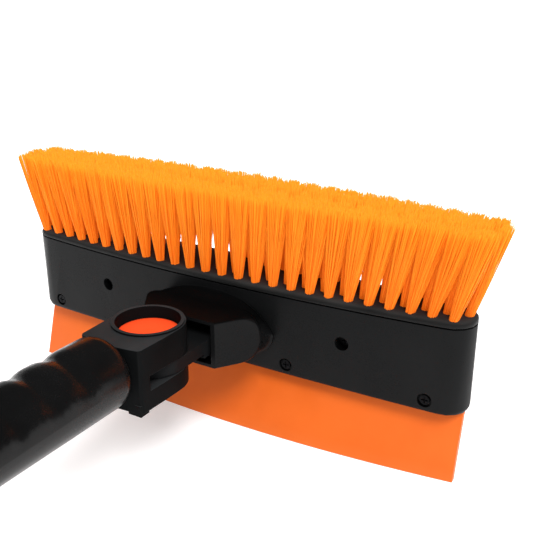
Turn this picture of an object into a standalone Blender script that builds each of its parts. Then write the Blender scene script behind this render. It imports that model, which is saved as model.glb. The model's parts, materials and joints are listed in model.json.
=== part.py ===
"""Snow brush scraper: a T-shaped brush head that turns on a fork at the end of a handle.

Frame: metres, +Z up, X along the brush head, the handle runs towards -Y. The origin is the middle
of the blade's lower edge, on the surface that the brush stands on. Lengths below are in millimetres
and become metres through the function mm.
"""

import math

import bmesh
import bpy
from mathutils import Matrix, Vector

# ---- Driving dimensions (mm) ----
HEAD_HALF = 133.5        # half the length of the brush head
HEAD_DEPTH = 24.0        # depth of the head at its round ends
HEAD_FRONT = 8.5         # y of the front face at the ends
BOW_TOP = 7.0            # how far the front bows out at the seam
BOW_BOTTOM = 3.0         # how far the front bows out at the lower edge
BOW_REAR = 5.0           # how far the back bows out
HOUSING_LOW = 33.0       # z of the housing's lower edge
SEAM = 78.0              # z of the seam between housing and cap
SEAM_GAP = 0.7           # height of the groove at the seam
CAP_HEIGHT = 3.6         # height of the cap at its edge
WALL = 2.4               # wall thickness of the housing
GAP = 0.3                # clearance between pieces that touch

TUFT_PITCH = 10.0        # distance between tufts of one row
BRISTLE_LENGTH = 45.0    # free length of the bristles
FAN = math.radians(12)   # lean of the rows' last tufts
END_LEAN = math.radians(14)  # lean of the single tuft at each end
ROW_INSET = 3.6          # outer rows, from the edge of the cap
ROW_STEP = 6.0           # from an outer row to the inner row beside it

PIVOT_Y = -48.0          # y of the pivot axis
FORK_HALF = 17.6         # half the width of the fork, and the radius of its round end
FORK_BACK_HALF = 16.8    # half its width at the handle
FORK_BACK = -74.6        # y of the fork's rear corners
FORK_LOW = 44.3
FORK_HIGH = 75.1
RING_HEIGHT = 0.9        # ring above the top of the fork
RING_BORE = 15.3         # radius of the ring's bore
JAW_GAP_LOW = 53.5       # the slot between the jaws
JAW_GAP_HIGH = 60.8
POST_DEPTH = 5.8         # wall that joins the jaws at the handle

HANDLE_Z = 63.8          # z of the handle's axis
GRIP_RADIUS = 17.3
GRIP_FRONT = -76.9
GRIP_REAR = -340.0
GRIP_EDGE = 7.0          # rounding of the grip's front edge
GROOVE_PITCH = 17.6      # distance between finger grooves
GROOVE_FIRST = -104.4    # y of the first groove
GROOVE_LAST = -300.0
GROOVE_DEPTH = 1.7
TUBE_RADIUS = 12.0
TUBE_REAR = -371.0

SCRAPER_FRONT = -352.0   # y where the scraper's socket starts
SCRAPER_REACH = 128.0    # horizontal length of socket and scraper
SCRAPER_WIDTH = 104.0


def mm(*values):
    """Millimetres to metres: a number for one value, a Vector for three."""
    scaled = [value * 0.001 for value in values]
    return scaled[0] if len(scaled) == 1 else Vector(scaled)


# ---- Scene, collections and materials ----

def clear_scene():
    for item in list(bpy.data.objects):
        bpy.data.objects.remove(item, do_unlink=True)


def new_collection(name):
    collection = bpy.data.collections.new(name)
    bpy.context.scene.collection.children.link(collection)
    return collection


def make_material(name, color, roughness, metallic=0.0):
    material = bpy.data.materials.new(name)
    material.use_nodes = True
    shader = material.node_tree.nodes["Principled BSDF"]
    shader.inputs["Base Color"].default_value = (*color, 1.0)
    shader.inputs["Roughness"].default_value = roughness
    shader.inputs["Metallic"].default_value = metallic
    material.diffuse_color = (*color, 1.0)
    return material


BLACK = (0.022, 0.022, 0.023)
DEEP_BLACK = (0.012, 0.012, 0.013)
ORANGE = (0.9, 0.2, 0.02)
BUTTON_ORANGE = (0.95, 0.12, 0.03)
STEEL = (0.55, 0.55, 0.57)
DARK_STEEL = (0.06, 0.06, 0.064)


def finish(item, color, roughness=0.5, metallic=0.0):
    """Give the object its own material and smooth shading with sharp edges kept."""
    item.data.materials.clear()
    item.data.materials.append(make_material(item.name + "_material", color, roughness, metallic))
    if item.type == "MESH":
        item.data.shade_smooth()
        item.data.set_sharp_from_angle(angle=math.radians(32))
    return item


def link_mesh(name, shape, collection):
    """Turn a bmesh into an object with its faces pointing out."""
    bmesh.ops.recalc_face_normals(shape, faces=shape.faces[:])
    mesh = bpy.data.meshes.new(name)
    shape.to_mesh(mesh)
    shape.free()
    item = bpy.data.objects.new(name, mesh)
    collection.objects.link(item)
    return item


def hide_cutter(item):
    item.hide_render = True
    item.display_type = "WIRE"
    return item


def boolean(item, other, operation="DIFFERENCE"):
    modifier = item.modifiers.new(operation.title() + "_" + other.name, "BOOLEAN")
    modifier.operation = operation
    modifier.object = other
    modifier.solver = "EXACT"
    return modifier


def bevel(item, width, segments=2, angle=40):
    modifier = item.modifiers.new("Bevel", "BEVEL")
    modifier.width = mm(width)
    modifier.segments = segments
    modifier.limit_method = "ANGLE"
    modifier.angle_limit = math.radians(angle)
    return modifier


# ---- Basic shapes ----

def box(name, low, high, collection):
    """A box between two corners given in mm."""
    shape = bmesh.new()
    bmesh.ops.create_cube(shape, size=1.0)
    size = mm(*[b - a for a, b in zip(low, high)])
    middle = mm(*[(a + b) / 2 for a, b in zip(low, high)])
    bmesh.ops.scale(shape, vec=size, verts=shape.verts)
    bmesh.ops.translate(shape, vec=middle, verts=shape.verts)
    return link_mesh(name, shape, collection)


def rod(name, start, end, radius, collection, sides=32, end_radius=None):
    """A cylinder or cone from start to end, both in mm."""
    shape = bmesh.new()
    along = mm(*end) - mm(*start)
    other = radius if end_radius is None else end_radius
    turn = along.to_track_quat("Z", "Y").to_matrix().to_4x4()
    place = Matrix.Translation((mm(*start) + mm(*end)) / 2) @ turn
    bmesh.ops.create_cone(
        shape,
        cap_ends=True,
        segments=sides,
        radius1=mm(radius),
        radius2=mm(other),
        depth=along.length,
        matrix=place,
    )
    return link_mesh(name, shape, collection)


def turned(name, profile, place, collection, steps=32):
    """A Screw of a profile of (radius, height) points in mm, top to bottom on its outer side."""
    shape = bmesh.new()
    points = [shape.verts.new(mm(radius, 0.0, height)) for radius, height in profile]
    closed = profile[0][0] > 0.0
    for first, second in zip(points, points[1:]):
        shape.edges.new((first, second))
    if closed:
        shape.edges.new((points[-1], points[0]))
    mesh = bpy.data.meshes.new(name)
    shape.to_mesh(mesh)
    shape.free()
    item = bpy.data.objects.new(name, mesh)
    collection.objects.link(item)
    item.location = mm(*place)
    screw = item.modifiers.new("Screw", "SCREW")
    screw.axis = "Z"
    screw.steps = steps
    screw.render_steps = steps
    screw.use_merge_vertices = True
    screw.merge_threshold = 0.0001
    return item


def slab(name, outline, low, high, collection):
    """A flat outline of (x, y) points in mm, filled and extruded between two heights."""
    curve = bpy.data.curves.new(name, "CURVE")
    curve.dimensions = "2D"
    curve.fill_mode = "BOTH"
    curve.extrude = mm(high - low) / 2
    spline = curve.splines.new("POLY")
    spline.points.add(len(outline) - 1)
    for point, (x, y) in zip(spline.points, outline):
        point.co = (mm(x), mm(y), 0.0, 1.0)
    spline.use_cyclic_u = True
    item = bpy.data.objects.new(name, curve)
    collection.objects.link(item)
    item.location = mm(0.0, 0.0, (low + high) / 2)
    return as_mesh(item, collection)


def as_mesh(item, collection):
    """Replace a curve object by a closed mesh with welded caps."""
    bpy.context.view_layer.update()
    name = item.name
    graph = bpy.context.evaluated_depsgraph_get()
    mesh = bpy.data.meshes.new_from_object(item.evaluated_get(graph))
    shape = bmesh.new()
    shape.from_mesh(mesh)
    bmesh.ops.remove_doubles(shape, verts=shape.verts, dist=0.000001)
    bmesh.ops.transform(shape, matrix=item.matrix_world, verts=shape.verts)
    bpy.data.objects.remove(item, do_unlink=True)
    bpy.data.meshes.remove(mesh)
    return link_mesh(name, shape, collection)


def loft(name, rings, collection):
    """A closed solid through rings of points (mm), each with the same number of points."""
    shape = bmesh.new()
    layers = [[shape.verts.new(mm(*point)) for point in ring] for ring in rings]
    count = len(layers[0])
    for lower, upper in zip(layers, layers[1:]):
        for index in range(count):
            after = (index + 1) % count
            shape.faces.new((lower[index], lower[after], upper[after], upper[index]))
    shape.faces.new(layers[0])
    shape.faces.new(layers[-1])
    bmesh.ops.connect_verts_nonplanar(shape, angle_limit=0.0001, faces=shape.faces[:])
    return link_mesh(name, shape, collection)


def arc(center_x, center_y, radius, start, end, count):
    """Points of an arc, angles in degrees, both ends included."""
    angles = [math.radians(start + (end - start) * step / count) for step in range(count + 1)]
    return [(center_x + radius * math.cos(a), center_y + radius * math.sin(a)) for a in angles]


# ---- Shape of the head ----

def bow(x, amount):
    """How far a long side stands out at x: most in the middle, none at the ends."""
    reach = HEAD_HALF - HEAD_DEPTH / 2
    return amount * max(0.0, 1.0 - (x / reach) ** 2)


def front_bow(z):
    share = (z - HOUSING_LOW) / (SEAM - HOUSING_LOW)
    return BOW_BOTTOM + (BOW_TOP - BOW_BOTTOM) * share


def front_y(x, z):
    """y of the head's front face."""
    return HEAD_FRONT - bow(x, front_bow(z))


def head_outline(front, inset=0.0, rear=BOW_REAR, steps=20, end_steps=8):
    """Outline of the head seen from above, counter-clockwise, with bowed sides and round ends."""
    radius = HEAD_DEPTH / 2 - inset
    reach = HEAD_HALF - HEAD_DEPTH / 2
    middle = HEAD_FRONT + HEAD_DEPTH / 2
    points = []
    for step in range(steps):
        x = -reach + 2 * reach * step / steps
        points.append((x, HEAD_FRONT + inset - bow(x, front)))
    points += arc(reach, middle, radius, -90, 90, end_steps)[:-1]
    for step in range(steps):
        x = reach - 2 * reach * step / steps
        points.append((x, HEAD_FRONT + HEAD_DEPTH - inset + bow(x, rear)))
    points += arc(-reach, middle, radius, 90, 270, end_steps)[:-1]
    return points


def head_block(name, low, high, inset, collection, edge=0.0):
    """The head's block between two heights, inset from its skin, with a rounded lower edge."""
    levels = [(low + edge * (1 - math.sin(a)), edge * (1 - math.cos(a)))
              for a in (math.radians(90), math.radians(45), math.radians(0))]
    if edge == 0.0:
        levels = [(low, 0.0)]
    levels.append((high, 0.0))
    rings = []
    for height, shrink in levels:
        outline = head_outline(front_bow(height), inset + shrink)
        rings.append([(x, y, height) for x, y in outline])
    return loft(name, rings, collection)


# ---- Neck on the front of the head ----

NECK_FRONT = -25.6       # y of the neck's front
NECK_HALF = 21.4         # half its width there
NECK_LOW = 45.7
NECK_HIGH = 70.0
FACET_REACH = 19.6       # how far the slanted side faces run back
FACET_SLOPE = 0.68       # how much half the width grows along them
FLARE_START = -6.4       # y where the neck starts to flare into the housing
FLARE_FULL = 2.6         # y where the flare has its full size
FLARE_END = 9.0          # y inside the housing where the neck ends
ARCH_HALF = 36.8         # the flare on the housing's face: half its width
ARCH_MIDDLE = 55.5       # z of its widest place
ARCH_TOP = 21.2          # from there to its top
ARCH_LOW = 18.6          # and to its lowest point


def arch_point(x, z, half, middle, tall):
    """The point of the flare's full arch that belongs to a point of the neck's section."""
    turn = math.atan2((z - middle) / tall, x / half)
    power = 1.35 if z > middle else 1.0
    height = ARCH_TOP if z > middle else ARCH_LOW
    across = math.copysign(abs(math.cos(turn)) ** power, math.cos(turn))
    rise = math.copysign(abs(math.sin(turn)) ** power, math.sin(turn))
    return ARCH_HALF * across, ARCH_MIDDLE + height * rise


def rounded_outline(half, tall, corner, middle, steps=7):
    """A rounded rectangle in x and z, with points along its straight sides too."""
    corners = []
    for side_x, side_z, start in ((1, 1, 0), (-1, 1, 90), (-1, -1, 180), (1, -1, 270)):
        center_x = side_x * (half - corner)
        center_z = middle + side_z * (tall - corner)
        corners.append(arc(center_x, center_z, corner, start, start + 90, steps))
    points = []
    for index, (bend, parts) in enumerate(zip(corners, (9, 3, 9, 3))):
        points += bend
        first = Vector(bend[-1])
        last = Vector(corners[(index + 1) % 4][0])
        points += [tuple(first.lerp(last, step / parts)) for step in range(1, parts)]
    return points


def neck_section(y):
    """One section of the neck across y: a rounded rectangle that flares into an arch at the housing."""
    facet = min(y - NECK_FRONT, FACET_REACH)
    half = NECK_HALF + facet * FACET_SLOPE
    tall = (NECK_HIGH - NECK_LOW) / 2
    middle = (NECK_HIGH + NECK_LOW) / 2
    share = max(0.0, facet / FACET_REACH - 0.5) / 0.5
    corner = 0.9 + (tall - 1.0) * (1.0 - math.sqrt(max(0.0, 1.0 - share * share)))
    corner = min(corner, tall - 0.4)
    grown = min(1.0, max(0.0, (y - FLARE_START) / (FLARE_FULL - FLARE_START)))
    ease = 1.0 - math.sqrt(1.0 - grown * grown)
    points = []
    for x, z in rounded_outline(half, tall, corner, middle):
        arch_x, arch_z = arch_point(x, z, half, middle, tall)
        points.append((x + (arch_x - x) * ease, y, z + (arch_z - z) * ease))
    return points


def neck_solid(collection):
    steps = (0, 5, 9.8, 12, 14, 16, 17.5, 18.6)
    stations = [NECK_FRONT + step for step in steps]
    flare = FLARE_FULL - FLARE_START
    stations += [FLARE_START + flare * math.sin(math.radians(10 * step)) for step in range(10)]
    stations.append(FLARE_END)
    return loft("neck_core", [neck_section(y) for y in stations], collection)


# ---- The head's pieces ----

LOW_SCREWS = (-115.5, -42.5, 42.5, 115.5)
HIGH_SCREWS = (-73.5, 73.5)
LOW_SCREW_Z = 39.8
HIGH_SCREW_Z = 59.5
PARTING = HEAD_FRONT + HEAD_DEPTH / 2


def housing_shells(parts, cutters):
    """Front and rear halves of the housing, hollow, parted along the middle of the ends."""
    inner = hide_cutter(head_block("housing_room", HOUSING_LOW + WALL, SEAM + 5, WALL, cutters))
    neck = hide_cutter(neck_solid(cutters))
    mouth = hide_cutter(box("neck_mouth", (-18.9, -40, 47.4), (18.9, 8, 68.2), cutters))
    slot = hide_cutter(box("blade_slot", (-126.6, 14, 28), (126.6, 28, 37), cutters))

    front_half = hide_cutter(box("front_half", (-150, -60, 20), (150, PARTING - GAP / 2, 90), cutters))
    rear_half = hide_cutter(box("rear_half", (-150, PARTING + GAP / 2, 20), (150, 60, 90), cutters))

    front = head_block("head_front_shell", HOUSING_LOW, SEAM - SEAM_GAP / 2, 0.0, parts, 3.0)
    boolean(front, slot)
    boolean(front, neck, "UNION")
    boolean(front, inner)
    boolean(front, mouth)
    boolean(front, front_half, "INTERSECT")
    for index, (x, z, radius, deep) in enumerate(screw_places()):
        y = front_y(x, z)
        if z == HIGH_SCREW_Z:
            boss = rod(f"screw_boss_{index}", (x, y + 1, z), (x, y + deep + 2, z), radius + 1.6, cutters, 20)
            boolean(front, hide_cutter(boss), "UNION")
        hole = rod(f"screw_recess_{index}", (x, y - 9, z), (x, y + deep, z), radius, cutters, 20)
        boolean(front, hide_cutter(hole))
        shank = rod(f"screw_way_{index}", (x, y, z), (x, y + deep + 7, z), 1.9, cutters, 12)
        boolean(front, hide_cutter(shank))
    finish(front, BLACK, 0.42)

    rear = head_block("head_rear_shell", HOUSING_LOW, SEAM - SEAM_GAP / 2, 0.0, parts, 3.0)
    boolean(rear, slot)
    boolean(rear, inner)
    boolean(rear, rear_half, "INTERSECT")
    finish(rear, BLACK, 0.42)


def screw_places():
    """(x, z, radius, depth) of every screw recess in the front of the housing."""
    places = [(x, LOW_SCREW_Z, 3.6, 1.9) for x in LOW_SCREWS]
    places += [(x, HIGH_SCREW_Z, 3.6, 5.5) for x in HIGH_SCREWS]
    return places


def head_screws(parts, cutters):
    """Cross-head screws that hold the two halves of the housing together."""
    names = ("far_left", "left", "right", "far_right", "upper_left", "upper_right")
    for name, (x, z, _, deep) in zip(names, screw_places()):
        y = front_y(x, z) + deep - GAP - 1.2
        length = 5.8
        item = rod("head_screw_" + name, (x, y, z), (x, y + 1.2, z), 2.5, parts, 20)
        shank = rod("screw_shank_" + name, (x, y + 1.0, z), (x, y + length, z), 1.5, cutters, 12)
        boolean(item, hide_cutter(shank), "UNION")
        for turn, size in enumerate(((1.7, 0.32), (0.32, 1.7))):
            low = (x - size[0], y - 1.0, z - size[1])
            high = (x + size[0], y + 0.75, z + size[1])
            cross = box(f"screw_cross_{name}_{turn}", low, high, cutters)
            boolean(item, hide_cutter(cross))
        finish(item, DARK_STEEL, 0.4, 1.0)


def tuft_carrier(parts, cutters):
    """Cap that closes the housing, with a rounded edge, a skirt inside and a bristle bed."""
    radius = 2.2
    low = SEAM + SEAM_GAP / 2
    high = SEAM + CAP_HEIGHT
    levels = [(low, 0.0), (high - radius, 0.0)]
    for step in (1, 2, 3):
        angle = math.radians(30 * step)
        levels.append((high - radius + radius * math.sin(angle), radius * (1 - math.cos(angle))))
    rings = [[(x, y, z) for x, y in head_outline(BOW_TOP, inset)] for z, inset in levels]
    cap = loft("tuft_carrier", rings, parts)
    skirt_rings = []
    for z in (SEAM - 6.0, SEAM + 1.5):
        skirt_rings.append([(x, y, z) for x, y in head_outline(BOW_TOP, WALL + GAP + 0.5)])
    skirt = hide_cutter(loft("cap_skirt", skirt_rings, cutters))
    room_rings = []
    for z in (SEAM - 9.0, SEAM + 0.4):
        room_rings.append([(x, y, z) for x, y in head_outline(BOW_TOP, WALL + GAP + 2.3)])
    room = hide_cutter(loft("cap_room", room_rings, cutters))
    boolean(cap, skirt, "UNION")
    boolean(cap, room)
    finish(cap, BLACK, 0.5)


# ---- Bristles ----

def fan_angle(x):
    return FAN * x / (HEAD_HALF - 8.5)


def bristle_slab(name, count, line, thick, spread, lean, parts):
    """One row of tufts as a plain closed slab that fans out towards both ends."""
    half_count = (count - 1) / 2
    steps = 14
    low = SEAM + CAP_HEIGHT + GAP
    rings = []
    for share in (0.0, 0.5, 1.0):
        reach = BRISTLE_LENGTH * share
        front = []
        rear = []
        for step in range(steps + 1):
            x = (half_count * TUFT_PITCH + 2.6) * (2 * step / steps - 1)
            angle = fan_angle(x)
            top_x = x + reach * math.sin(angle)
            z = low + reach * math.cos(angle)
            out = reach * math.tan(lean)
            half = thick + spread * share
            front.append((top_x, line(x) + out - half, z))
            rear.append((top_x, line(x) + out + half, z))
        rings.append(front + rear[::-1])
    item = loft(name, rings, parts)
    finish(item, ORANGE, 0.75)


def row_line(side, offset):
    """y of a row of tufts at x, followed along the bowed edge of the cap."""
    if side < 0:
        return lambda x: HEAD_FRONT + offset - bow(x, BOW_TOP)
    return lambda x: HEAD_FRONT + HEAD_DEPTH - offset + bow(x, BOW_REAR)


def bristles(parts):
    """Four rows of tufts and one tuft on the middle line at each end."""
    for name, side, offset, count, thick, spread, lean in (
        ("bristle_row_front", -1, ROW_INSET, 26, 2.2, 0.9, 3.0),
        ("bristle_row_front_inner", -1, ROW_INSET + ROW_STEP, 25, 1.9, 0.3, 0.4),
        ("bristle_row_rear_inner", 1, ROW_INSET + ROW_STEP, 25, 1.9, 0.3, 0.4),
        ("bristle_row_rear", 1, ROW_INSET, 26, 2.2, 0.9, 3.0),
    ):
        line = row_line(side, offset)
        bristle_slab(name, count, line, thick, spread, side * math.radians(lean), parts)
    for name, side in (("bristle_end_left", -1), ("bristle_end_right", 1)):
        end_tuft(name, side, parts)


def end_tuft(name, side, parts):
    """The single tuft on the middle line at one end."""
    low = SEAM + CAP_HEIGHT + GAP
    x = side * (HEAD_HALF - 4.2)
    angle = side * END_LEAN
    rings = []
    for share in (0.0, 0.5, 1.0):
        reach = BRISTLE_LENGTH * share
        radius = 2.3 + 0.3 * share
        depth = 2.3 + 3.2 * share
        center = (x + reach * math.sin(angle), PARTING, low + reach * math.cos(angle))
        ring = []
        for step in range(12):
            turn = math.radians(30 * step)
            ring.append((center[0] + radius * math.cos(turn), center[1] + depth * math.sin(turn), center[2]))
        rings.append(ring)
    finish(loft(name, rings, parts), ORANGE, 0.75)


# ---- Blade under the head ----

BLADE_TOP = 45.0
BLADE_HALF_TOP = 131.6
BLADE_HALF_LOW = 132.0
BLADE_TANG_HALF = 125.0  # half the length of the part inside the housing
BLADE_THICK = 3.0


def blade_line(share, x_share):
    """Middle of the blade's thickness: share 0 at the lower edge and 1 at the housing."""
    half = BLADE_HALF_LOW + (BLADE_HALF_TOP - BLADE_HALF_LOW) * min(1.0, share)
    x = half * x_share
    low_y = 10.0 - 10.0 * (1.0 - x_share * x_share)
    high_y = 21.0 - 3.0 * (1.0 - x_share * x_share)
    return x, low_y + (high_y - low_y) * share


def squeegee_blade(parts, cutters):
    """Curved orange blade: clamped in the housing, slanting forward to its lower edge."""
    steps = 24
    rings = []
    for z in (0.0, 11.0, 22.0, 32.0, 38.0, BLADE_TOP):
        share = min(1.0, z / 38.0)
        front = []
        rear = []
        for step in range(steps + 1):
            x_share = 2 * step / steps - 1
            x, y = blade_line(share, x_share)
            front.append((x, y - BLADE_THICK / 2, z))
            rear.append((x, y + BLADE_THICK / 2, z))
        rings.append(front + rear[::-1])
    blade = loft("squeegee_blade", rings, parts)
    for side, name in ((-1, "left"), (1, "right")):
        near = side * BLADE_TANG_HALF
        far = side * (BLADE_HALF_LOW + 5.0)
        low = (min(near, far), 0.0, HOUSING_LOW - GAP)
        high = (max(near, far), 40.0, BLADE_TOP + 5.0)
        boolean(blade, hide_cutter(box("blade_shoulder_" + name, low, high, cutters)))
    finish(blade, ORANGE, 0.45)


def blade_clamps(parts):
    """Two rails inside the housing that grip the blade's upper edge."""
    for name, low_gap, high_gap in (("blade_clamp_front", -4.6, -GAP), ("blade_clamp_rear", GAP, 4.6)):
        rings = []
        for z in (38.6, 46.5):
            front = []
            rear = []
            for step in range(17):
                x, y = blade_line(1.0, 0.86 * (2 * step / 16 - 1))
                edge = BLADE_THICK / 2 if low_gap > 0 else -BLADE_THICK / 2
                front.append((x, y + edge + low_gap, z))
                rear.append((x, y + edge + high_gap, z))
            rings.append(front + rear[::-1])
        finish(loft(name, rings, parts), DEEP_BLACK, 0.6)


# ---- Tongue, fork and lock ----

TONGUE_LOW = 53.9
TONGUE_HIGH = 60.4
TONGUE_ROOT_LOW = 51.8
TONGUE_HALF = 17.3
BUSH_RADIUS = 11.6
GEAR_RADIUS = 9.8


def pivot_tongue(parts, cutters):
    """Flat tongue that is pinned in the neck and turns inside the fork."""
    outline = [(TONGUE_HALF, 6.0), (-TONGUE_HALF, 6.0)]
    outline += arc(0.0, PIVOT_Y, TONGUE_HALF, 180, 360, 22)
    tongue = slab("pivot_tongue", outline, TONGUE_LOW, TONGUE_HIGH, parts)
    root_front = PIVOT_Y + FORK_HALF + 1.6
    root = box("tongue_root", (-TONGUE_HALF, root_front, TONGUE_ROOT_LOW), (TONGUE_HALF, 6.0, 57.0), cutters)
    boolean(tongue, hide_cutter(root), "UNION")
    bore = rod("tongue_bore", (0, PIVOT_Y, 40), (0, PIVOT_Y, 80), BUSH_RADIUS + GAP, cutters, 40)
    boolean(tongue, hide_cutter(bore))
    for index, x in enumerate((-9.0, 9.0)):
        hole = rod(f"tongue_hole_{index}", (x, -8, 40), (x, -8, 80), 2.3, cutters, 16)
        boolean(tongue, hide_cutter(hole))
    finish(tongue, BLACK, 0.4)
    for name, x in (("tongue_pin_left", -9.0), ("tongue_pin_right", 9.0)):
        pin = rod(name, (x, -8, 47.8), (x, -8, 67.8), 2.0, parts, 16)
        finish(pin, STEEL, 0.35, 1.0)


def fork_outline():
    """The fork seen from above: a round end about the pivot and a slightly narrower, bowed rear."""
    outline = arc(0.0, PIVOT_Y, FORK_HALF, 0, 180, 22)
    outline += [(-FORK_HALF + 0.1, PIVOT_Y - 10), (-FORK_BACK_HALF, FORK_BACK + 1.4)]
    for step in range(9):
        share = 2 * step / 8 - 1
        outline.append(((FORK_BACK_HALF - 1.0) * share, FORK_BACK - 1.7 * (1 - share * share)))
    outline += [(FORK_BACK_HALF, FORK_BACK + 1.4), (FORK_HALF - 0.1, PIVOT_Y - 10)]
    return outline


def fork(parts, cutters):
    """Fork of the handle: two jaws, a rear wall, the button's ring and a spigot for the tube."""
    body = slab("fork", fork_outline(), FORK_LOW, FORK_HIGH, parts)
    bevel(body, 0.6, 2, 60)
    ring_low = FORK_HIGH - 3.0
    ring_high = FORK_HIGH + RING_HEIGHT
    ring = rod("ring_boss", (0, PIVOT_Y, ring_low), (0, PIVOT_Y, ring_high), FORK_HALF - 0.5, cutters, 48)
    boolean(body, hide_cutter(ring), "UNION")
    spigot_end = FORK_BACK - 36.0
    spigot = rod("fork_spigot", (0, FORK_BACK + 4, HANDLE_Z), (0, spigot_end, HANDLE_Z), 9.4, cutters, 28)
    boolean(body, hide_cutter(spigot), "UNION")
    window_low = (-25, FORK_BACK + POST_DEPTH, JAW_GAP_LOW)
    window = box("fork_window", window_low, (25, 0, JAW_GAP_HIGH), cutters)
    boolean(body, hide_cutter(window))
    wells = (
        ("button_well", RING_BORE, 62.1, 90.0),
        ("stem_way", 4.0, 48.4, 90.0),
        ("gear_well", GEAR_RADIUS + 0.4, 50.2, 57.0),
        ("bush_seat", BUSH_RADIUS + GAP, 52.0, 57.0),
    )
    for name, radius, low, high in wells:
        well = rod(name, (0, PIVOT_Y, low), (0, PIVOT_Y, high), radius, cutters, 44)
        boolean(body, hide_cutter(well))
    pin_way = rod("spigot_pin_way", (0, FORK_BACK - 22, 40), (0, FORK_BACK - 22, 90), 1.9, cutters, 14)
    boolean(body, hide_cutter(pin_way))
    lug_low = (9.0, FORK_BACK - 0.6, FORK_LOW - 1.5)
    lug = box("fork_lug", lug_low, (16.2, FORK_BACK + 5.0, FORK_LOW + 4), cutters)
    boolean(body, hide_cutter(lug), "UNION")
    finish(body, BLACK, 0.4)


def lock_parts(parts, cutters):
    """Push button, lock gear and its screw, which move together, their spring, and the bushing."""
    place = (0.0, PIVOT_Y, 0.0)
    top = 70.6
    profile = [(0.0, top), (12.8, top), (14.6, top - 0.5), (15.0, top - 1.2), (15.0, 66.2),
               (13.6, 66.2), (13.6, 68.2), (3.6, 68.2), (3.6, 60.3), (0.0, 60.3)]
    button = turned("push_button", profile, place, parts, 44)
    finish(button, BUTTON_ORANGE, 0.4)

    gear_teeth = 24
    rings = []
    for z in (54.2, 60.0):
        ring = []
        for step in range(gear_teeth * 4):
            angle = 2 * math.pi * step / (gear_teeth * 4)
            radius = GEAR_RADIUS if step % 4 in (0, 1) else GEAR_RADIUS - 1.3
            ring.append((radius * math.cos(angle), PIVOT_Y + radius * math.sin(angle), z))
        rings.append(ring)
    gear = loft("lock_gear", rings, parts)
    hole = rod("gear_bore", (0, PIVOT_Y, 50), (0, PIVOT_Y, 62), 2.0, cutters, 16)
    boolean(gear, hide_cutter(hole))
    finish(gear, DEEP_BLACK, 0.5)

    screw_profile = [(0.0, 59.9), (1.6, 59.9), (1.6, 53.8), (3.4, 53.8), (3.4, 52.6), (0.0, 52.6)]
    screw = turned("lock_gear_screw", screw_profile, place, parts, 16)
    finish(screw, STEEL, 0.35, 1.0)

    inner = GEAR_RADIUS + 0.4
    bush_profile = [(BUSH_RADIUS, 60.4), (BUSH_RADIUS, 52.3), (inner, 52.3), (inner, 60.4)]
    bush = turned("pivot_bushing", bush_profile, place, parts, 40)
    finish(bush, STEEL, 0.4, 1.0)
    button_spring(parts)


def button_spring(parts):
    """Coil spring between the floor of the well and the underside of the button."""
    wire = 0.45
    low = 62.1 + GAP + wire
    high = 68.2 - GAP - wire
    turns = 2.5
    count = 60
    curve = bpy.data.curves.new("button_spring", "CURVE")
    curve.dimensions = "3D"
    curve.bevel_depth = mm(wire)
    curve.bevel_resolution = 1
    curve.use_fill_caps = True
    spline = curve.splines.new("POLY")
    spline.points.add(count)
    for step, point in enumerate(spline.points):
        angle = 2 * math.pi * turns * step / count
        height = low + (high - low) * step / count
        x = 9.0 * math.cos(angle)
        y = PIVOT_Y + 9.0 * math.sin(angle)
        point.co = (*mm(x, y, height), 1.0)
    item = bpy.data.objects.new("button_spring", curve)
    parts.objects.link(item)
    finish(as_mesh(item, parts), STEEL, 0.3, 1.0)


# ---- Handle ----

def groove(y):
    """Depth of the finger grooves at y: narrow valleys between broad crests."""
    if y > GROOVE_FIRST + GROOVE_PITCH / 2 or y < GROOVE_LAST:
        return 0.0
    turn = math.pi * (y - GROOVE_FIRST) / GROOVE_PITCH
    return GROOVE_DEPTH * math.cos(turn) ** 4


def grip_section(y, sides=28):
    """One ring of the grip: round, with finger grooves along its upper side."""
    start = max(0.0, GRIP_EDGE - (GRIP_FRONT - y))
    end = max(0.0, 4.0 - (y - GRIP_REAR))
    radius = GRIP_RADIUS - GRIP_EDGE + math.sqrt(GRIP_EDGE ** 2 - start ** 2)
    radius -= 4.0 - math.sqrt(16.0 - end ** 2)
    points = []
    for step in range(sides):
        angle = 2 * math.pi * step / sides
        rise = max(0.0, math.sin(angle)) ** 0.8
        here = radius - groove(y) * rise
        points.append((here * math.cos(angle), y, HANDLE_Z + here * math.sin(angle)))
    return points


def grip_stations():
    """y of the grip's sections: dense at the front edge and along the grooves."""
    stations = [GRIP_FRONT - GRIP_EDGE * (1 - math.cos(math.radians(18 * step))) for step in range(6)]
    y = GROOVE_FIRST + GROOVE_PITCH / 2
    while y > GROOVE_LAST - 1.0:
        stations.append(y)
        y -= GROOVE_PITCH / 8
    stations += [GRIP_REAR + 4.0 * (1 - math.sin(math.radians(30 * step))) for step in range(4)]
    return stations


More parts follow.
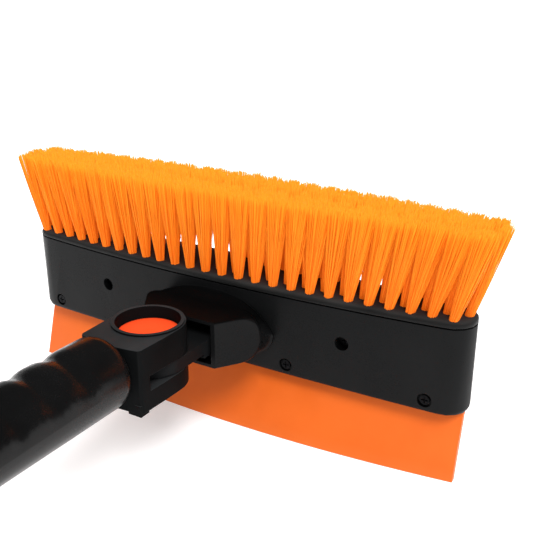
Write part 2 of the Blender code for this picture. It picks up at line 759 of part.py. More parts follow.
def handle(parts, cutters):
    """Core tube, grip sleeve, end collar and the pins that hold them."""
    grip = loft("grip_sleeve", [grip_section(y) for y in grip_stations()], parts)
    rear = (0, GRIP_REAR - 10, HANDLE_Z)
    bore = rod("grip_bore", (0, -60, HANDLE_Z), rear, TUBE_RADIUS + GAP, cutters, 32)
    boolean(grip, hide_cutter(bore))
    finish(grip, BLACK, 0.6)

    front = (0, FORK_BACK - 2.4, HANDLE_Z)
    tube = rod("handle_tube", front, (0, TUBE_REAR, HANDLE_Z), TUBE_RADIUS, parts, 32)
    core = rod("tube_bore", (0, -60, HANDLE_Z), (0, TUBE_REAR - 10, HANDLE_Z), 9.7, cutters, 28)
    boolean(tube, hide_cutter(core))
    pin_way = rod("tube_pin_way", (0, FORK_BACK - 22, 45), (0, FORK_BACK - 22, 85), 1.9, cutters, 14)
    boolean(tube, hide_cutter(pin_way))
    finish(tube, DEEP_BLACK, 0.35)

    pin_low = HANDLE_Z - TUBE_RADIUS + 0.4
    pin_high = HANDLE_Z + TUBE_RADIUS - 0.4
    pin = rod("fork_pin", (0, FORK_BACK - 22, pin_low), (0, FORK_BACK - 22, pin_high), 1.6, parts, 14)
    finish(pin, STEEL, 0.35, 1.0)

    collar_profile = [(15.6, 0.0), (16.4, -0.8), (16.4, -7.2), (15.6, -8.0), (TUBE_RADIUS + GAP, -8.0),
                      (TUBE_RADIUS + GAP, 0.0)]
    collar = turned("grip_end_ring", collar_profile, (0.0, GRIP_REAR - GAP, HANDLE_Z), parts, 36)
    collar.rotation_euler = (math.radians(-90), 0.0, 0.0)
    finish(collar, ORANGE, 0.4)


# ---- Ice scraper at the far end ----

def scraper_center(share):
    """Middle line of socket and scraper: level at the tube, then down to the ground."""
    y = SCRAPER_FRONT - SCRAPER_REACH * share
    drop = max(0.0, share - 0.16) / 0.84
    z = HANDLE_Z - (HANDLE_Z - 2.1) * drop ** 1.22
    return y, z


def scraper_section(share, steps=6):
    """Section of the scraper: round at the socket, wide and flat at the edge."""
    y, z = scraper_center(share)
    y_next, z_next = scraper_center(min(1.0, share + 0.02))
    y_last, z_last = scraper_center(max(0.0, share - 0.02))
    along = Vector((0.0, y_next - y_last, z_next - z_last)).normalized()
    normal = Vector((0.0, -along.z, along.y))
    if normal.z < 0:
        normal.negate()
    flat = max(0.0, share - 0.16) / 0.84
    ease = flat * flat * (3 - 2 * flat)
    half = 15.6 + (SCRAPER_WIDTH / 2 - 15.6) * ease
    thick = 15.6 + (1.9 - 15.6) * min(1.0, flat * 1.18) ** 0.6
    corner = min(thick, half) * (1.0 - 0.45 * ease)
    points = []
    for side_x, side_n, start in ((1, 1, 0), (-1, 1, 90), (-1, -1, 180), (1, -1, 270)):
        center_x = side_x * (half - corner)
        center_n = side_n * (thick - corner)
        for across, up in arc(center_x, center_n, corner, start, start + 90, steps):
            offset = normal * up
            points.append((across, y + offset.y, z + offset.z))
    return points


def ice_scraper(parts, cutters):
    """Socket and scraper in one piece, and the two screws that hold it on the tube."""
    shares = [step / 16 for step in range(17)]
    body = loft("ice_scraper", [scraper_section(share) for share in shares], parts)
    socket_end = (0, TUBE_REAR - 1.0, HANDLE_Z)
    socket = rod("socket_bore", (0, GRIP_REAR, HANDLE_Z), socket_end, TUBE_RADIUS + GAP, cutters, 32)
    boolean(body, hide_cutter(socket))
    finish(body, ORANGE, 0.4)
    y = SCRAPER_FRONT - 10.0
    for name, side in (("scraper_screw_left", -1), ("scraper_screw_right", 1)):
        x_low = side * (TUBE_RADIUS - 1.0)
        way = rod(name + "_way", (x_low, y, HANDLE_Z), (side * 20, y, HANDLE_Z), 2.0, cutters, 16)
        boolean(body, hide_cutter(way))
        start = (side * (TUBE_RADIUS + 0.4), y, HANDLE_Z)
        screw = rod(name, start, (side * 15.0, y, HANDLE_Z), 1.7, parts, 16)
        finish(screw, DARK_STEEL, 0.4, 1.0)


# ---- Assembly ----

def build():
    clear_scene()
    parts = new_collection("snow_brush_scraper")
    cutters = new_collection("cutters")
    housing_shells(parts, cutters)
    head_screws(parts, cutters)
    tuft_carrier(parts, cutters)
    bristles(parts)
    squeegee_blade(parts, cutters)
    blade_clamps(parts)
    pivot_tongue(parts, cutters)
    fork(parts, cutters)
    lock_parts(parts, cutters)
    handle(parts, cutters)
    ice_scraper(parts, cutters)


build()
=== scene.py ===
import json
import math
import random

import bmesh
import bpy
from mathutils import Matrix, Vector

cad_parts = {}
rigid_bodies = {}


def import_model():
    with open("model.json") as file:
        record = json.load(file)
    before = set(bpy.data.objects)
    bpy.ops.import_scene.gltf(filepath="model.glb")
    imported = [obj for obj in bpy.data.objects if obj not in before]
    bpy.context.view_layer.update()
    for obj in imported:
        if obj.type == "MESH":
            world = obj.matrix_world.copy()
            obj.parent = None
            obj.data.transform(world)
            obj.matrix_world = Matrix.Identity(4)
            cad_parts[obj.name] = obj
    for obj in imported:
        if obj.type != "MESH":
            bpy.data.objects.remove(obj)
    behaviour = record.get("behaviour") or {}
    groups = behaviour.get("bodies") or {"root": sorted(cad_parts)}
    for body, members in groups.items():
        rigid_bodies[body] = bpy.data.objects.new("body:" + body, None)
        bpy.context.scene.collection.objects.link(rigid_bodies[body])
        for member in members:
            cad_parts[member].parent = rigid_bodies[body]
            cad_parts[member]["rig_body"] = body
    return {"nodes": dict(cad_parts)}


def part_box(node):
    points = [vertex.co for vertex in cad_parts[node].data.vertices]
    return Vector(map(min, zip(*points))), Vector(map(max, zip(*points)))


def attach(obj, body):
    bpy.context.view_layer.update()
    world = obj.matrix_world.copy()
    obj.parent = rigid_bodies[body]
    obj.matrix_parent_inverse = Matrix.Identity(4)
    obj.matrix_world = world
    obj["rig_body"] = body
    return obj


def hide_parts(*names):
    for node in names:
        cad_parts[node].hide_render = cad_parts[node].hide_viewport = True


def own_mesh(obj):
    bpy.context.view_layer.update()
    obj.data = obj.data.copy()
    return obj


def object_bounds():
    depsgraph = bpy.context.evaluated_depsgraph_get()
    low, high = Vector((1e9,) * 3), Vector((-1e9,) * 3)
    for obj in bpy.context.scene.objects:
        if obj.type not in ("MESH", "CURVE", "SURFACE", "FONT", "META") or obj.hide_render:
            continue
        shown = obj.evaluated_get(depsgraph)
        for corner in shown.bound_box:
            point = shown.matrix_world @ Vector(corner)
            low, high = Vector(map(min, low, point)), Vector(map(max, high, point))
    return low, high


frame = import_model()
cad_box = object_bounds()

# Looks of the snow brush scraper. Lengths are in metres, and those with _mm in their name in
# millimetres.

MM = 0.001
RNG = random.Random(20431)


def added(name, data):
    """A new object in the scene."""
    item = bpy.data.objects.new(name, data)
    bpy.context.scene.collection.objects.link(item)
    return item


# ---- Material building blocks ----

TOP_GLOSS = 0.01             # reflection of faces that look up, where their colour carries painted light or shade
PAINTED_TOP_Z = (0.15, 0.7)         # z of the normal where the painted light or shade of faces that look up starts, and where it is full
EDGE = (0.995, 0.86)         # cosine between flat and rounded normal, off an edge and on one
SCUFFED_TO_Z = 0.006         # height of the scuffed strip along the blade's lower edge
BRISTLE_ROOT_Z = 0.082       # heights between which the colour of the bristles changes
BRISTLE_TIP_Z = 0.126
BEVEL_SAMPLES = 4
MIX_FIRST = 6                # the colour sockets of a Mix node
MIX_SECOND = 7
MIX_RESULT = 2


class Surface:
    """A Principled material under construction, with one helper per kind of pattern."""

    def __init__(self, name):
        self.material = bpy.data.materials.new(name)
        self.material.use_nodes = True
        self.tree = self.material.node_tree
        self.shader = self.tree.nodes["Principled BSDF"]
        self.place = self.tree.nodes.new("ShaderNodeTexCoord").outputs["Object"]

    def node(self, kind, **settings):
        made = self.tree.nodes.new(kind)
        for key, value in settings.items():
            setattr(made, key, value)
        return made

    def link(self, source, target):
        self.tree.links.new(source, target)

    def constant(self, **values):
        """Set sockets of the shader, given as Specular_IOR_Level=0.4."""
        for key, value in values.items():
            self.shader.inputs[key.replace("_", " ")].default_value = value

    def stretched(self, scale):
        mapping = self.node("ShaderNodeMapping")
        mapping.inputs["Scale"].default_value = scale
        self.link(self.place, mapping.inputs["Vector"])
        return mapping.outputs["Vector"]

    def noise(self, size_mm, detail, rough, stretch=None):
        """Noise with features about size_mm wide."""
        made = self.node("ShaderNodeTexNoise")
        made.inputs["Scale"].default_value = 1000.0 / size_mm
        made.inputs["Detail"].default_value = detail
        made.inputs["Roughness"].default_value = rough
        place = self.place if stretch is None else self.stretched(stretch)
        self.link(place, made.inputs["Vector"])
        return made.outputs["Fac"]

    def spread(self, value, low, high, new_low, new_high):
        """Map the range low..high of a value to new_low..new_high."""
        made = self.node("ShaderNodeMapRange")
        made.inputs["From Min"].default_value = low
        made.inputs["From Max"].default_value = high
        made.inputs["To Min"].default_value = new_low
        made.inputs["To Max"].default_value = new_high
        self.link(value, made.inputs["Value"])
        return made.outputs["Result"]

    def math(self, operation, first, second):
        made = self.node("ShaderNodeMath", operation=operation)
        for socket, value in zip(made.inputs, (first, second)):
            if isinstance(value, (int, float)):
                socket.default_value = value
            else:
                self.link(value, socket)
        return made.outputs["Value"]

    def blend(self, factor, first, second):
        """A colour between two, each a tuple or a socket."""
        made = self.node("ShaderNodeMix", data_type="RGBA")
        self.link(factor, made.inputs["Factor"])
        for socket, value in ((made.inputs[MIX_FIRST], first), (made.inputs[MIX_SECOND], second)):
            if isinstance(value, tuple):
                socket.default_value = (*value, 1.0)
            else:
                self.link(value, socket)
        return made.outputs[MIX_RESULT]

    def upright(self, vector):
        """The z of a vector."""
        made = self.node("ShaderNodeSeparateXYZ")
        self.link(vector, made.inputs["Vector"])
        return made.outputs["Z"]

    def rounded(self, radius_mm):
        """The normal as if every edge had this radius."""
        made = self.node("ShaderNodeBevel", samples=BEVEL_SAMPLES)
        made.inputs["Radius"].default_value = radius_mm * MM
        return made.outputs["Normal"]

    def edges(self, radius_mm):
        """1 on edges sharper than radius_mm and 0 on flat surfaces."""
        rounded = self.rounded(radius_mm)
        flat = self.node("ShaderNodeNewGeometry")
        dot = self.node("ShaderNodeVectorMath", operation="DOT_PRODUCT")
        self.link(rounded, dot.inputs[0])
        self.link(flat.outputs["Normal"], dot.inputs[1])
        return self.spread(dot.outputs["Value"], *EDGE, 0.0, 1.0)

    def bump(self, *layers, rounding_mm):
        """Relief from layers of (value, depth in mm), over edges rounded by rounding_mm."""
        normal = self.rounded(rounding_mm)
        for value, depth in layers:
            made = self.node("ShaderNodeBump")
            made.inputs["Distance"].default_value = depth * MM
            self.link(value, made.inputs["Height"])
            self.link(normal, made.inputs["Normal"])
            normal = made.outputs["Normal"]
        self.link(normal, self.shader.inputs["Normal"])


def moulded(name, dark, light, roughness, grain_mm=0.7, grain_depth_mm=0.035, rounding_mm=0.45,
            gloss=0.5, top=1.0):
    """Moulded plastic: fine spark grain, uneven sheen, faint scuffs and edges that are worn smooth.

    With top other than 1, faces that look up reflect less and have top times the colour of the
    rest: painted shade where top is below 1, painted light where it is above 1."""
    surface = Surface(name)
    cloud = surface.noise(34.0, detail=4.0, rough=0.55)
    grain = surface.noise(grain_mm, detail=2.0, rough=0.6)
    wave = surface.noise(16.0, detail=2.0, rough=0.4)
    edge = surface.edges(0.5)
    scuffs = surface.noise(2.2, detail=6.0, rough=0.7, stretch=(1.0, 0.22, 1.0))
    scuffed = surface.spread(scuffs, 0.60, 0.74, 0.0, 0.35)
    tint = surface.blend(surface.spread(cloud, 0.35, 0.65, 0.0, 1.0), dark, light)
    worn = surface.math("MULTIPLY", edge, surface.spread(wave, 0.35, 0.7, 0.15, 0.5))
    pale = tuple(min(1.0, channel * 1.5 + 0.006) for channel in light)
    used = surface.math("MAXIMUM", worn, surface.math("MULTIPLY", scuffed, 0.25))
    tint = surface.blend(used, tint, pale)
    # Faces that look up get top times the colour and less reflection: painted light where top is
    # above 1, painted shade where it is below 1.
    if top != 1.0:
        normal = surface.node("ShaderNodeNewGeometry").outputs["Normal"]
        painted_top = surface.spread(surface.upright(normal), *PAINTED_TOP_Z, 0.0, 1.0)
        painted_top_tint = surface.node("ShaderNodeMix", data_type="RGBA", blend_type="MULTIPLY")
        surface.link(painted_top, painted_top_tint.inputs["Factor"])
        surface.link(tint, painted_top_tint.inputs[MIX_FIRST])
        painted_top_tint.inputs[MIX_SECOND].default_value = (top, top, top, 1.0)
        tint = painted_top_tint.outputs[MIX_RESULT]
        reflection = surface.spread(painted_top, 0.0, 1.0, gloss, TOP_GLOSS)
        surface.link(reflection, surface.shader.inputs["Specular IOR Level"])
    surface.link(tint, surface.shader.inputs["Base Color"])
    sheen = surface.spread(cloud, 0.3, 0.7, roughness - 0.05, roughness + 0.05)
    sheen = surface.math("ADD", sheen, surface.spread(grain, 0.3, 0.7, -0.03, 0.03))
    sheen = surface.math("SUBTRACT", sheen, surface.math("MULTIPLY", edge, 0.08))
    sheen = surface.math("ADD", sheen, surface.math("MULTIPLY", scuffed, 0.25))
    surface.link(sheen, surface.shader.inputs["Roughness"])
    surface.constant(Specular_IOR_Level=gloss)
    surface.bump((grain, grain_depth_mm), (wave, 0.12), rounding_mm=rounding_mm)
    return surface.material


def steel(name, tone, roughness):
    """Machined steel: fine turning marks, darker spots and bright edges."""
    surface = Surface(name)
    marks = surface.noise(0.5, detail=3.0, rough=0.6, stretch=(1.0, 6.0, 1.0))
    spots = surface.noise(2.5, detail=4.0, rough=0.6)
    dark = tuple(channel * 0.55 for channel in tone)
    color = surface.blend(surface.spread(spots, 0.35, 0.7, 0.0, 1.0), tone, dark)
    pale = tuple(min(1.0, channel * 1.8) for channel in tone)
    color = surface.blend(surface.math("MULTIPLY", surface.edges(0.2), 0.6), color, pale)
    surface.link(color, surface.shader.inputs["Base Color"])
    sheen = surface.spread(spots, 0.3, 0.7, roughness - 0.08, roughness + 0.12)
    surface.link(sheen, surface.shader.inputs["Roughness"])
    surface.constant(Metallic=1.0)
    surface.bump((marks, 0.02), rounding_mm=0.15)
    return surface.material


def blade_plastic():
    """Orange blade: a moulding with flow lines, fine scratches and a scuffed lower edge."""
    surface = Surface("blade_look")
    cloud = surface.noise(40.0, detail=4.0, rough=0.6)
    flow = surface.noise(7.0, detail=3.0, rough=0.5, stretch=(1.0, 1.0, 0.12))
    grain = surface.noise(0.8, detail=2.0, rough=0.6)
    fine = surface.noise(1.4, detail=5.0, rough=0.75, stretch=(0.08, 1.0, 1.0))
    scratch = surface.spread(fine, 0.62, 0.75, 0.0, 1.0)
    clouds = surface.spread(cloud, 0.35, 0.65, 0.0, 1.0)
    tint = surface.blend(clouds, (0.66, 0.112, 0.010), (0.71, 0.126, 0.013))
    low_edge = surface.spread(surface.upright(surface.place), 0.0, SCUFFED_TO_Z, 1.0, 0.0)
    rubbed = surface.math("MULTIPLY", low_edge, surface.spread(scratch, 0.0, 1.0, 0.25, 1.0))
    tint = surface.blend(surface.math("MULTIPLY", rubbed, 0.3), tint, (0.75, 0.28, 0.10))
    surface.link(tint, surface.shader.inputs["Base Color"])
    sheen = surface.spread(flow, 0.3, 0.7, 0.36, 0.48)
    sheen = surface.math("ADD", sheen, surface.math("MULTIPLY", scratch, 0.12))
    surface.link(sheen, surface.shader.inputs["Roughness"])
    surface.constant(Specular_IOR_Level=0.2)
    surface.bump((grain, 0.02), (flow, 0.05), (scratch, 0.015), rounding_mm=0.4)
    return surface.material


def filament_nylon():
    """Brush filaments: deep orange at the root, yellow-orange above, each with its own tone, and a
    faint painted glow.
    """
    surface = Surface("bristle_look")
    height = surface.spread(surface.upright(surface.place), BRISTLE_ROOT_Z, BRISTLE_TIP_Z, 0.0, 1.0)
    ramp = surface.node("ShaderNodeValToRGB")
    surface.link(height, ramp.inputs["Fac"])
    elements = ramp.color_ramp.elements
    elements[0].color = (0.91, 0.205, 0.012, 1.0)
    elements[1].color = (0.88, 0.28, 0.015, 1.0)
    elements.new(0.45).color = (0.91, 0.28, 0.017, 1.0)
    elements.new(0.8).color = (0.90, 0.285, 0.016, 1.0)
    tone = surface.node("ShaderNodeAttribute", attribute_name="tone").outputs["Fac"]
    deepness = surface.spread(tone, 0.0, 1.0, 0.0, 0.3)
    deep = surface.blend(deepness, ramp.outputs["Color"], (0.96, 0.18, 0.009))
    streak = surface.noise(1.5, detail=3.0, rough=0.5, stretch=(1.0, 1.0, 0.08))
    color = surface.blend(surface.spread(streak, 0.5, 0.75, 0.0, 0.3), deep, (0.99, 0.36, 0.03))
    surface.link(color, surface.shader.inputs["Base Color"])
    surface.link(surface.spread(tone, 0.0, 1.0, 0.42, 0.6), surface.shader.inputs["Roughness"])
    # A faint glow in the filaments' own colour: painted light standing in for light that passes
    # through the nylon.
    surface.link(color, surface.shader.inputs["Emission Color"])
    surface.constant(Specular_IOR_Level=0.12, Emission_Strength=0.16)
    return surface.material


# ---- Materials of the pieces ----

# Faces of the housing that look up, the top of the neck most of all, get 0.35 times its colour:
# painted shade.
HOUSING = moulded("housing_look", (0.0050, 0.0052, 0.0054), (0.0068, 0.0070, 0.0073), 0.30,
                  gloss=0.07, top=0.35)
# Faces of the cap that look up, between the tufts, get 3.2 times its colour: painted light from
# above.
CAP = moulded("cap_look", (0.005, 0.005, 0.005), (0.009, 0.009, 0.0088), 0.40, gloss=0.14, top=3.2)
NECK = moulded("tongue_look", (0.0060, 0.0064, 0.0068), (0.0085, 0.0090, 0.0095), 0.36, gloss=0.03)
# Faces of the fork that look up get 4.2 times its colour over a darker base: painted light on the
# top and painted shade on the sides.
FORK = moulded("fork_look", (0.0036, 0.0040, 0.0042), (0.0056, 0.0060, 0.0063), 0.38, grain_mm=0.6,
               grain_depth_mm=0.03, rounding_mm=0.7, gloss=0.015, top=4.2)
TUBE = moulded("tube_look", (0.003, 0.003, 0.0033), (0.005, 0.005, 0.0054), 0.30, grain_mm=0.5,
               grain_depth_mm=0.015, gloss=0.2)
INNER = moulded("inner_look", (0.003, 0.003, 0.003), (0.005, 0.005, 0.005), 0.5, gloss=0.12)
BUTTON = moulded("button_look", (0.74, 0.052, 0.010), (0.80, 0.062, 0.013), 0.40, grain_mm=0.6,
                 grain_depth_mm=0.02, rounding_mm=0.5, gloss=0.2)
SCRAPER = moulded("scraper_look", (0.66, 0.115, 0.011), (0.72, 0.13, 0.014), 0.38, grain_mm=0.9,
                  grain_depth_mm=0.03, rounding_mm=0.8, gloss=0.3)
# Blackened steel, made darker still as painted shade of the holes the screws sit in.
SCREW = steel("screw_look", (0.010, 0.010, 0.011), 0.40)
BRIGHT = steel("bushing_look", (0.45, 0.45, 0.47), 0.34)
GRIP = moulded("grip_look", (0.003, 0.003, 0.0031), (0.005, 0.005, 0.0051), 0.25, grain_mm=1.1,
               grain_depth_mm=0.02, rounding_mm=0.3, gloss=0.15)
BLADE = blade_plastic()
BRISTLE = filament_nylon()


# ---- Carried-over shapes, welded and shaded smoothly ----

CREASE = math.radians(32.0)  # edges sharper than this stay sharp
WELD_MM = 0.002
NORMAL_WEIGHT = 60           # pull of a flat's size on the shading beside it, 50 being neutral


def skin(node, material):
    """A copy of a CAD node with welded points, soft shading between its flats, and a material."""
    source = frame["nodes"][node]
    shape = bmesh.new()
    shape.from_mesh(source.data)
    bmesh.ops.remove_doubles(shape, verts=shape.verts, dist=WELD_MM * MM)
    bmesh.ops.recalc_face_normals(shape, faces=shape.faces)
    mesh = bpy.data.meshes.new(node + "_look")
    shape.to_mesh(mesh)
    shape.free()
    if "custom_normal" in mesh.attributes:
        mesh.attributes.remove(mesh.attributes["custom_normal"])
    mesh.materials.clear()
    mesh.materials.append(material)
    mesh.shade_smooth()
    mesh.set_sharp_from_angle(angle=CREASE)
    item = added(node + "_look", mesh)
    weighted = item.modifiers.new("Weighted normals", "WEIGHTED_NORMAL")
    weighted.keep_sharp = True
    weighted.weight = NORMAL_WEIGHT
    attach(item, source["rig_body"])
    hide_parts(node)
    return item


for name, material, slot in (
    ("head_front_shell", HOUSING, "housing_plastic"),
    ("head_rear_shell", HOUSING, "housing_plastic"),
    ("tuft_carrier", CAP, "cap_plastic"),
    ("squeegee_blade", BLADE, "blade_plastic"),
    ("blade_clamp_front", INNER, "inner_plastic"),
    ("blade_clamp_rear", INNER, "inner_plastic"),
    ("pivot_tongue", NECK, "housing_plastic"),
    ("fork", FORK, "fork_plastic"),
    ("push_button", BUTTON, "button_plastic"),
    ("lock_gear", INNER, "inner_plastic"),
    ("handle_tube", TUBE, "tube_plastic"),
    ("grip_sleeve", GRIP, "grip_plastic"),
    ("grip_end_ring", SCRAPER, "scraper_plastic"),
    ("ice_scraper", SCRAPER, "scraper_plastic"),
    ("head_screw_far_left", SCREW, "screw_steel"),
    ("head_screw_left", SCREW, "screw_steel"),
    ("head_screw_right", SCREW, "screw_steel"),
    ("head_screw_far_right", SCREW, "screw_steel"),
    ("head_screw_upper_left", SCREW, "screw_steel"),
    ("head_screw_upper_right", SCREW, "screw_steel"),
    ("scraper_screw_left", SCREW, "screw_steel"),
    ("scraper_screw_right", SCREW, "screw_steel"),
):
    skin(name, material)

for name in ("tongue_pin_left", "tongue_pin_right", "fork_pin", "pivot_bushing", "lock_gear_screw"):
    mesh = frame["nodes"][name].data
    mesh.materials.clear()
    mesh.materials.append(BRIGHT)

spring = skin("button_spring", BRIGHT)
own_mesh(spring)


# ---- Bristles ----

TUFT_PITCH_MM = 10.0
REAR_SHIFT_MM = -1.4         # of the rear rows along x, so that light shows between the tufts
ROW_REACH_MM = 121.5         # half the length over which the cap's long edges bow
FRONT_BOW_MM = 7.0
REAR_BOW_MM = 5.0
OUTER_ROW = {"inset": 3.6, "count": 26, "out": 3.0, "spread_y": 4.6}
INNER_ROW = {"inset": 9.6, "count": 25, "out": 0.4, "spread_y": 7.5}
ROW_SPREAD_X_MM = 5.9        # how far a tuft of a row opens along x, from its middle
ROOT_DEPTH_MM = 0.2

END_TUFT_AT_MM = 129.3
END_LEAN = math.radians(13.0)
END_SPREAD_MM = (2.6, 6.5)
END_ROOT_DEPTH_MM = 0.4

FAN = math.radians(12.0)     # outward lean of a tuft that stands at FAN_AT_MM
FAN_AT_MM = 125.0
SWEEP = math.radians(3.0)    # lean of all tufts to the right
LEAN_SCATTER_DEG = 0.9

FILAMENTS = 190              # in one tuft
LEVELS = (0.0, 0.28, 0.6, 1.0)  # shares of a filament's length that have a ring of points
CORNERS = 3                  # points in such a ring
CORNER_ANGLE = 2.0944
GOLDEN_ANGLE = 2.39996       # between one filament's place in the tuft and the next one's
PLACE_SCATTER = 0.3          # radians
ROOT_RADIUS_MM = 2.1
FILAMENT_RADIUS_MM = 0.21
RADIUS_SHARES = (0.85, 1.15)
TIP_THINNING = 0.22

BRISTLE_FREE_MM = 45.0
OVER_LENGTH_MM = 0.3
LENGTH_SCATTER_MM = 0.55
CROWN_MM = 1.2               # the outer filaments of a tuft are this much shorter
SHORT_CHANCE = 0.03
SHORT_BY_MM = (1.0, 6.0)
STRAY_CHANCE = 0.02
STRAY_MM = 6.0
WANDER_MM = 0.5
BEND_MM = (-0.6, -1.0)       # inwards along x and y, so that a tuft's filaments bow outwards
BEND_SCATTER_MM = (0.5, 0.4)

TUFT_TONE = 0.12             # differences of colour, between tufts and between filaments
FILAMENT_TONE = 0.22


class Bundle:
    """Points, faces and tones of the filaments of one row."""

    def __init__(self):
        self.points = []
        self.faces = []
        self.tones = []

    def filament(self, root, tip, bend, radius, tone):
        """A filament from root to tip, whose middle bows away from bend by a quarter of it."""
        start = len(self.points)
        turn = RNG.uniform(0.0, 2.0)
        for share in LEVELS:
            middle = root.lerp(tip, share) + bend * (share * share - share)
            thin = radius * (1.0 - TIP_THINNING * share)
            for corner in range(CORNERS):
                angle = turn + corner * CORNER_ANGLE
                offset = Vector((thin * math.cos(angle), thin * math.sin(angle), 0.0))
                self.points.append((middle + offset) * MM)
            self.tones.extend([tone] * CORNERS)
        for level in range(len(LEVELS) - 1):
            low = start + level * CORNERS
            high = low + CORNERS
            for corner in range(CORNERS):
                after = (corner + 1) % CORNERS
                self.faces.append((low + corner, low + after, high + after, high + corner))
        top = start + (len(LEVELS) - 1) * CORNERS
        self.faces.append((top, top + 1, top + 2))

    def tuft(self, root, lean, out, spread_x, spread_y):
        """A tuft at root (mm) that leans by lean along x and out along y, and opens upwards."""
        tuft_tone = RNG.uniform(-TUFT_TONE, TUFT_TONE)
        lean += SWEEP + math.radians(RNG.gauss(0.0, LEAN_SCATTER_DEG))
        along = Vector((math.sin(lean), math.tan(out), math.cos(lean)))
        for index in range(FILAMENTS):
            far = math.sqrt((index + 0.5) / FILAMENTS)
            angle = index * GOLDEN_ANGLE + RNG.uniform(-PLACE_SCATTER, PLACE_SCATTER)
            side = Vector((far * math.cos(angle), far * math.sin(angle), 0.0))
            foot = root + side * ROOT_RADIUS_MM
            length = BRISTLE_FREE_MM + OVER_LENGTH_MM + RNG.gauss(0.0, LENGTH_SCATTER_MM)
            length -= CROWN_MM * far * far
            if RNG.random() < SHORT_CHANCE:
                length -= RNG.uniform(*SHORT_BY_MM)
            wander = Vector((RNG.gauss(0.0, WANDER_MM), RNG.gauss(0.0, WANDER_MM), 0.0))
            opened = Vector((side.x * spread_x, side.y * spread_y, 0.0))
            tip = root + along * length + opened + wander
            if RNG.random() < STRAY_CHANCE:
                tip.x += RNG.uniform(-STRAY_MM, STRAY_MM)
            bend = Vector((side.x * BEND_MM[0] + RNG.gauss(0.0, BEND_SCATTER_MM[0]),
                           side.y * BEND_MM[1] + RNG.gauss(0.0, BEND_SCATTER_MM[1]), 0.0))
            tone = min(1.0, max(0.0, 0.5 + tuft_tone + RNG.gauss(0.0, FILAMENT_TONE)))
            self.filament(foot, tip, bend, FILAMENT_RADIUS_MM * RNG.uniform(*RADIUS_SHARES), tone)

    def build(self, name, node):
        """The mesh of the row, in place of the CAD node."""
        mesh = bpy.data.meshes.new(name)
        mesh.from_pydata(self.points, [], self.faces)
        layer = mesh.attributes.new("tone", "FLOAT", "POINT")
        layer.data.foreach_set("value", self.tones)
        mesh.shade_smooth()
        mesh.materials.append(BRISTLE)
        item = added(name, mesh)
        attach(item, "head")
        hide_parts(node)


def row_y(side, inset, x):
    """y (mm) of a row that follows the bowed edge of the cap."""
    low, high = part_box("tuft_carrier")
    bow = max(0.0, 1.0 - (x / ROW_REACH_MM) ** 2)
    if side < 0:
        return low.y / MM + FRONT_BOW_MM + inset - FRONT_BOW_MM * bow
    return high.y / MM - REAR_BOW_MM - inset + REAR_BOW_MM * bow


def bristle_row(node, side, inset, count, out, spread_y):
    """A front (side -1) or rear (side 1) row, inset mm from the cap's edge, leaning out degrees."""
    bundle = Bundle()
    root_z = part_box("tuft_carrier")[1].z / MM - ROOT_DEPTH_MM
    shift = REAR_SHIFT_MM if side > 0 else 0.0
    for index in range(count):
        x = (index - (count - 1) / 2) * TUFT_PITCH_MM + shift
        root = Vector((x, row_y(side, inset, x), root_z))
        bundle.tuft(root, FAN * x / FAN_AT_MM, side * math.radians(out), ROW_SPREAD_X_MM, spread_y)
    bundle.build(node.replace("bristle_row", "bristles"), node)


bristle_row("bristle_row_front", -1, **OUTER_ROW)
bristle_row("bristle_row_front_inner", -1, **INNER_ROW)
bristle_row("bristle_row_rear_inner", 1, **INNER_ROW)
bristle_row("bristle_row_rear", 1, **OUTER_ROW)
for node, side in (("bristle_end_left", -1), ("bristle_end_right", 1)):
    bundle = Bundle()
    low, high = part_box(node)
    middle_y = (low.y + high.y) / 2 / MM
    root = Vector((side * END_TUFT_AT_MM, middle_y, low.z / MM - END_ROOT_DEPTH_MM))
    bundle.tuft(root, side * END_LEAN, 0.0, *END_SPREAD_MM)
    bundle.build(node.replace("bristle_end", "bristles_end"), node)


# ---- Floor, light and camera ----

FLOOR_REACH = 6.0            # from its middle to its sides
LENS_MM = 52.36
SENSOR_MM = 36.0
CAMERA_AT = (0.2233, -0.3057, 0.2303)
CAMERA_TARGET = (0.0345, 0.0085, 0.0859)


def floor():
    """White ground under the object, glowing faintly so that its shadows stay light."""
    shape = bmesh.new()
    bmesh.ops.create_grid(shape, x_segments=2, y_segments=2, size=FLOOR_REACH)
    mesh = bpy.data.meshes.new("studio_floor")
    shape.to_mesh(mesh)
    shape.free()
    item = added("studio_floor", mesh)
    item.location = (0.0, 0.0, cad_box[0][2])
    surface = Surface("floor_look")
    soft = surface.noise(300.0, detail=2.0, rough=0.4)
    white = surface.blend(soft, (0.93, 0.93, 0.93), (0.96, 0.96, 0.96))
    surface.link(white, surface.shader.inputs["Base Color"])
    surface.constant(Roughness=0.7, Specular_IOR_Level=0.2, Emission_Strength=0.25)
    mesh.materials.append(surface.material)


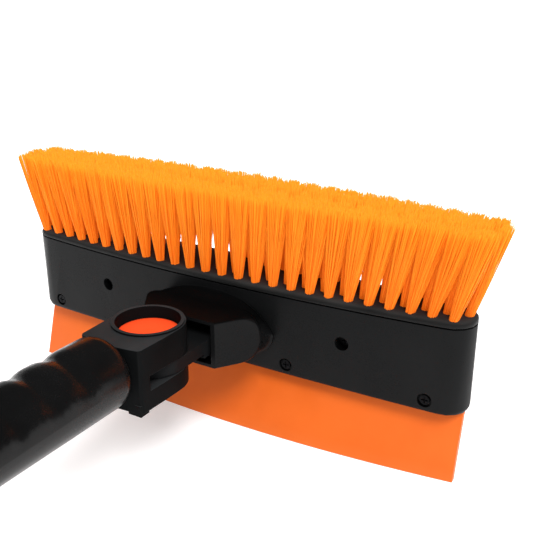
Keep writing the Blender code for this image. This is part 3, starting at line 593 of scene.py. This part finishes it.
def world(strength, mirrored):
    """An even white studio, which glossy surfaces see as dim as the walls behind a light tent."""
    made = bpy.data.worlds.new("studio")
    made.use_nodes = True
    tree = made.node_tree
    background = tree.nodes["Background"]
    background.inputs["Color"].default_value = (1.0, 1.0, 1.0, 1.0)
    path = tree.nodes.new("ShaderNodeLightPath")
    level = tree.nodes.new("ShaderNodeMapRange")
    level.inputs["To Min"].default_value = strength
    level.inputs["To Max"].default_value = mirrored
    tree.links.new(path.outputs["Is Glossy Ray"], level.inputs["Value"])
    tree.links.new(level.outputs["Result"], background.inputs["Strength"])
    bpy.context.scene.world = made


def aim(item, place, direction):
    """Put a light or camera at place, looking along direction."""
    item.location = place
    item.rotation_euler = direction.to_track_quat("-Z", "Y").to_euler()


def key(name, toward, strength, width):
    """The main light, from where toward points: even over the floor, and width degrees wide."""
    light = bpy.data.lights.new(name, "SUN")
    light.energy = strength
    light.angle = math.radians(width)
    item = added(name, light)
    aim(item, toward, -Vector(toward))
    item.visible_glossy = False


def softbox(name, place, target, width, height, power, lights=True, mirrored=True):
    """A lamp panel, which can also only light, or only be seen mirrored in glossy surfaces."""
    light = bpy.data.lights.new(name, "AREA")
    light.shape = "RECTANGLE"
    light.size = width
    light.size_y = height
    light.energy = power
    item = added(name, light)
    aim(item, place, Vector(target) - Vector(place))
    item.visible_diffuse = lights
    item.visible_glossy = mirrored


def camera():
    """The camera that took the photograph, fitted to the head's corners and the rows of tufts."""
    data = bpy.data.cameras.new("photo_camera")
    data.lens = LENS_MM
    data.sensor_width = SENSOR_MM
    data.clip_start = 0.01
    item = added("photo_camera", data)
    aim(item, CAMERA_AT, Vector(CAMERA_TARGET) - Vector(CAMERA_AT))
    bpy.context.scene.camera = item


floor()
world(strength=0.82, mirrored=0.06)
key("key_front_right", toward=(0.42, -0.45, 0.79), strength=2.3, width=22.0)
softbox("top_back", place=(-0.1, 0.35, 0.85), target=(0.0, 0.02, 0.1), width=0.6, height=0.35,
        power=3.5, mirrored=False)
softbox("edge_right", place=(0.58, 0.02, 0.72), target=(0.0, -0.03, 0.06), width=0.25, height=0.25,
        power=1.2, mirrored=False)
softbox("rim_left", place=(-0.80, 0.40, 0.24), target=(0.0, -0.15, 0.06), width=0.8, height=0.30,
        power=0.45, lights=False)
camera()
bpy.context.scene.view_settings.view_transform = "Standard"
